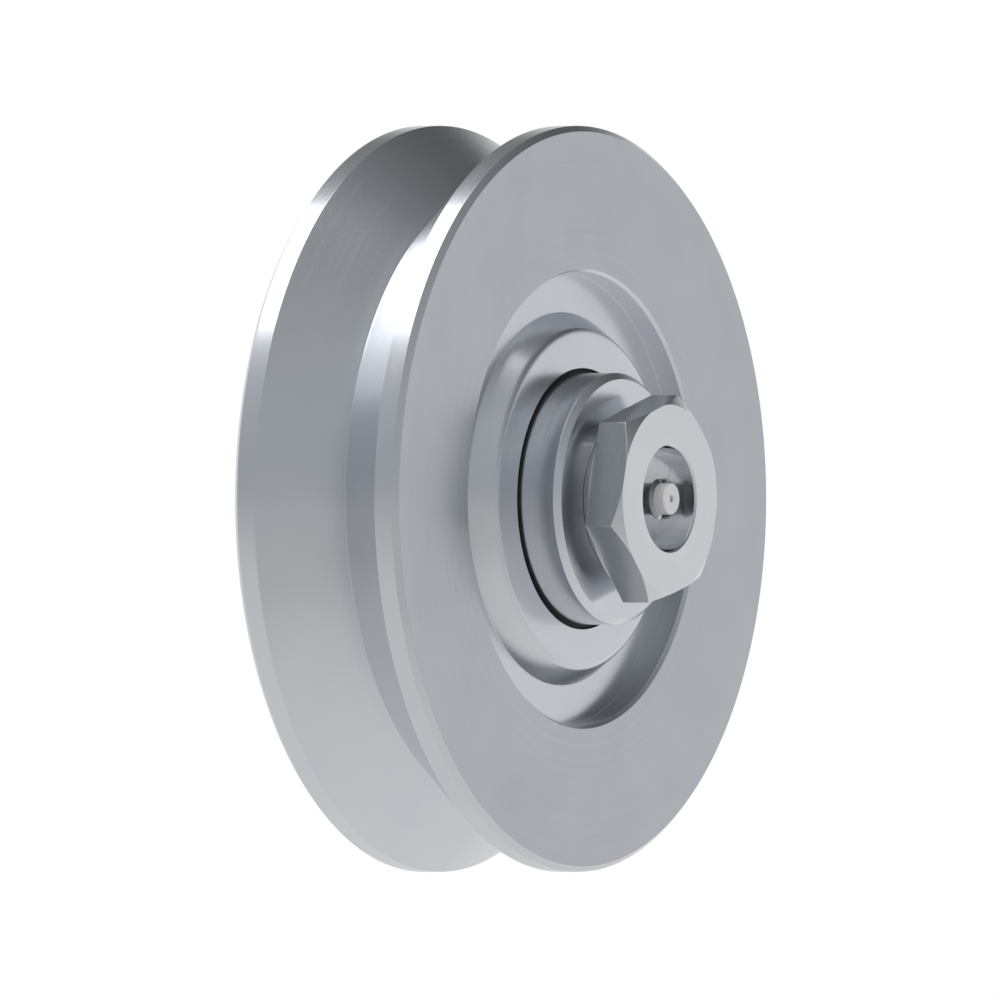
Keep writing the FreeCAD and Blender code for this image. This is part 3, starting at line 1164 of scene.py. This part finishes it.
def floor_paint():
    """Matt floor paint with a roller's faint grain: flat and pale; in the metal it shows as a glow
    of painted light.
    """
    material, tree, shader, output = new_material("matt_painted_floor")
    place = add_node(tree, "ShaderNodeTexCoord").outputs["Object"]
    # A roller's grain is too fine to show, so it is drawn coarser
    roller = add_node(
        tree, "ShaderNodeTexNoise", {"Vector": place, "Scale": per_metre(1.5), "Detail": 2.0}
    )
    bump = add_node(
        tree,
        "ShaderNodeBump",
        {"Height": roller.outputs["Fac"], "Strength": 0.04, "Distance": 0.05 * MM},
    )
    tree.links.new(bump.outputs["Normal"], shader.inputs["Normal"])
    shader.inputs["Base Color"].default_value = finish_colours().floor
    shader.inputs["Roughness"].default_value = 0.8
    # In the metal the floor is a glow of painted light, brighter towards +X and +Y and without the
    # wheel's shadow
    level = level_towards(tree, place, (0.7, 0.7, 0.0), between=(-0.15, 0.05), levels=(0.6, 0.95))
    glow = add_node(
        tree, "ShaderNodeEmission", {"Color": finish_colours().floor, "Strength": level}
    )
    path = add_node(tree, "ShaderNodeLightPath")
    shown = add_node(
        tree,
        "ShaderNodeMixShader",
        {0: path.outputs["Is Glossy Ray"], 1: shader.outputs["BSDF"], 2: glow.outputs[0]},
    )
    tree.links.new(shown.outputs[0], output.inputs["Surface"])
    return material


def studio_floor():
    """A plain pale floor under the wheel."""
    half_width = 3.0
    bm = bmesh.new()
    bmesh.ops.create_grid(bm, x_segments=8, y_segments=8, size=half_width)
    mesh = bpy.data.meshes.new("studio_floor")
    bm.to_mesh(mesh)
    bm.free()
    floor = bpy.data.objects.new("studio_floor", mesh)
    floor.location.z = WHEEL_LOW.z * MM
    floor.data.materials.append(floor_paint())
    bpy.context.scene.collection.objects.link(floor)


def studio_room(tree):
    """What the metal shows: cool grey walls, a light one behind on the right, a dim ceiling."""
    direction = add_node(tree, "ShaderNodeTexCoord").outputs["Generated"]
    wall_levels = (0.49, 1.05)
    wall = level_towards(tree, direction, (0.94, 0.34, 0.0), (0.2, 1.0), wall_levels, "SMOOTHSTEP")
    ceiling = level_towards(tree, direction, (-0.98, 0.21, 0.0), (-1.0, 0.4), (0.05, 0.5))
    height = level_towards(
        tree, direction, (0.0, 0.0, 1.0), (0.05, 0.52), (0.0, 1.0), "SMOOTHSTEP"
    )
    level = add_node(
        tree, "ShaderNodeMix", {0: height, MIX_NUMBERS[0]: wall, MIX_NUMBERS[1]: ceiling}
    )
    lightness = add_node(
        tree,
        "ShaderNodeMapRange",
        {"Value": wall, "From Min": wall_levels[0], "From Max": wall_levels[1]},
    )
    tone = add_node(
        tree,
        "ShaderNodeMix",
        {
            "Factor": lightness.outputs["Result"],
            MIX_COLOURS[0]: hex_colour("#f6fbff"),
            MIX_COLOURS[1]: hex_colour("#ffffff"),
        },
        data_type="RGBA",
    )
    return tone.outputs[MIXED_COLOUR], level.outputs[0]


def studio_world():
    """White behind the object, a soft room in the metal and a plain level of fill."""
    world = bpy.data.worlds.new("studio")
    bpy.context.scene.world = world
    world.use_nodes = True
    tree = world.node_tree
    tree.nodes.clear()
    path = add_node(tree, "ShaderNodeLightPath")
    white = hex_colour("#ffffff")
    seen = add_node(tree, "ShaderNodeBackground", {"Color": white, "Strength": 1.0})
    fill = add_node(tree, "ShaderNodeBackground", {"Color": white, "Strength": 0.4})
    tone, level = studio_room(tree)
    reflected = add_node(tree, "ShaderNodeBackground", {"Color": tone, "Strength": level})
    lit = add_node(
        tree,
        "ShaderNodeMixShader",
        {0: path.outputs["Is Diffuse Ray"], 1: reflected.outputs[0], 2: fill.outputs[0]},
    )
    behind = add_node(
        tree,
        "ShaderNodeMixShader",
        {0: path.outputs["Is Camera Ray"], 1: lit.outputs[0], 2: seen.outputs[0]},
    )
    add_node(tree, "ShaderNodeOutputWorld", {"Surface": behind.outputs[0]})


def soft_box(name, place, width, depth, watts):
    """A rectangular soft box that hangs level and shines down, all in metres."""
    lamp = bpy.data.lights.new(name, "AREA")
    lamp.shape = "RECTANGLE"
    lamp.size = width
    lamp.size_y = depth
    lamp.energy = watts
    holder = bpy.data.objects.new(name, lamp)
    holder.location = place
    bpy.context.scene.collection.objects.link(holder)


def studio_camera():
    """A long, parallel view level with the axle, 60 degrees round from the wheel's face."""
    azimuth = math.radians(-60)
    distance = 0.6
    frame_pixels = 1000
    pixels_per_metre = 6217
    axis_pixels_right = 0.7
    axis_pixels_up = 1.2
    away = Vector((math.sin(azimuth), -math.cos(azimuth), 0.0))
    right = Vector((math.cos(azimuth), math.sin(azimuth), 0.0))
    up = Vector((0.0, 0.0, 1.0))
    middle = (right * axis_pixels_right + up * axis_pixels_up) / -pixels_per_metre
    camera = bpy.data.cameras.new("camera")
    camera.type = "ORTHO"
    camera.ortho_scale = frame_pixels / pixels_per_metre
    camera.clip_start = 0.01
    camera.clip_end = 20.0
    holder = bpy.data.objects.new("camera", camera)
    holder.location = middle + away * distance
    holder.rotation_mode = "QUATERNION"
    holder.rotation_quaternion = (-away).to_track_quat("-Z", "Y")
    bpy.context.scene.collection.objects.link(holder)
    bpy.context.scene.camera = holder


class WHEEL_OT_studio(bpy.types.Operator):
    """Set up the floor, soft lamps, white surroundings and camera"""

    bl_idname = "wheel.studio"
    bl_label = "Studio"

    def execute(self, context):
        studio_camera()
        studio_floor()
        studio_world()
        soft_box("key_soft_box", (-0.15, 0.0975, 0.45), width=0.40, depth=0.505, watts=1.66)
        soft_box("side_soft_box", (-0.505, 0.025, 0.45), width=0.31, depth=0.55, watts=0.40)
        context.scene.view_settings.view_transform = "Standard"
        return {"FINISHED"}


# Panel and run


STEPS = (
    WHEEL_OT_turned_wheel,
    WHEEL_OT_spacers,
    WHEEL_OT_dust_seals,
    WHEEL_OT_axle_bolt,
    WHEEL_OT_grease_nipple,
    WHEEL_OT_nipple_spring,
    WHEEL_OT_inner_finishes,
    WHEEL_OT_studio,
)


class WHEEL_PT_panel(bpy.types.Panel):
    """Lists the wheel's pieces, sizes and colours"""

    bl_idname = "WHEEL_PT_panel"
    bl_label = "V groove wheel"
    bl_space_type = "VIEW_3D"
    bl_region_type = "UI"
    bl_category = "Wheel"

    def draw(self, context):
        for group_name in (*SIZE_GROUPS, "finish_colours"):
            group = getattr(context.scene, group_name)
            box = self.layout.box()
            for name in group.bl_rna.properties.keys():
                if name not in ("rna_type", "name"):
                    box.prop(group, name)
        for step in STEPS:
            self.layout.operator(step.bl_idname)


CLASSES = (*SIZE_GROUPS.values(), FinishColours, *STEPS, WHEEL_PT_panel)


def register():
    """Registers the classes and gives the scene its sizes and colours."""
    for each in CLASSES:
        bpy.utils.register_class(each)
    for name, group in SIZE_GROUPS.items():
        setattr(bpy.types.Scene, name, PointerProperty(type=group))
    bpy.types.Scene.finish_colours = PointerProperty(type=FinishColours)


def unregister():
    """Takes the sizes, colours and classes away again."""
    del bpy.types.Scene.finish_colours
    for name in SIZE_GROUPS:
        delattr(bpy.types.Scene, name)
    for each in reversed(CLASSES):
        bpy.utils.unregister_class(each)


def main():
    """Registers the classes and makes every piece."""
    register()
    bpy.ops.wheel.turned_wheel()
    bpy.ops.wheel.spacers()
    bpy.ops.wheel.dust_seals()
    bpy.ops.wheel.axle_bolt()
    bpy.ops.wheel.grease_nipple()
    bpy.ops.wheel.nipple_spring()
    bpy.ops.wheel.inner_finishes()
    bpy.ops.wheel.studio()


if __name__ == "__main__":
    main()
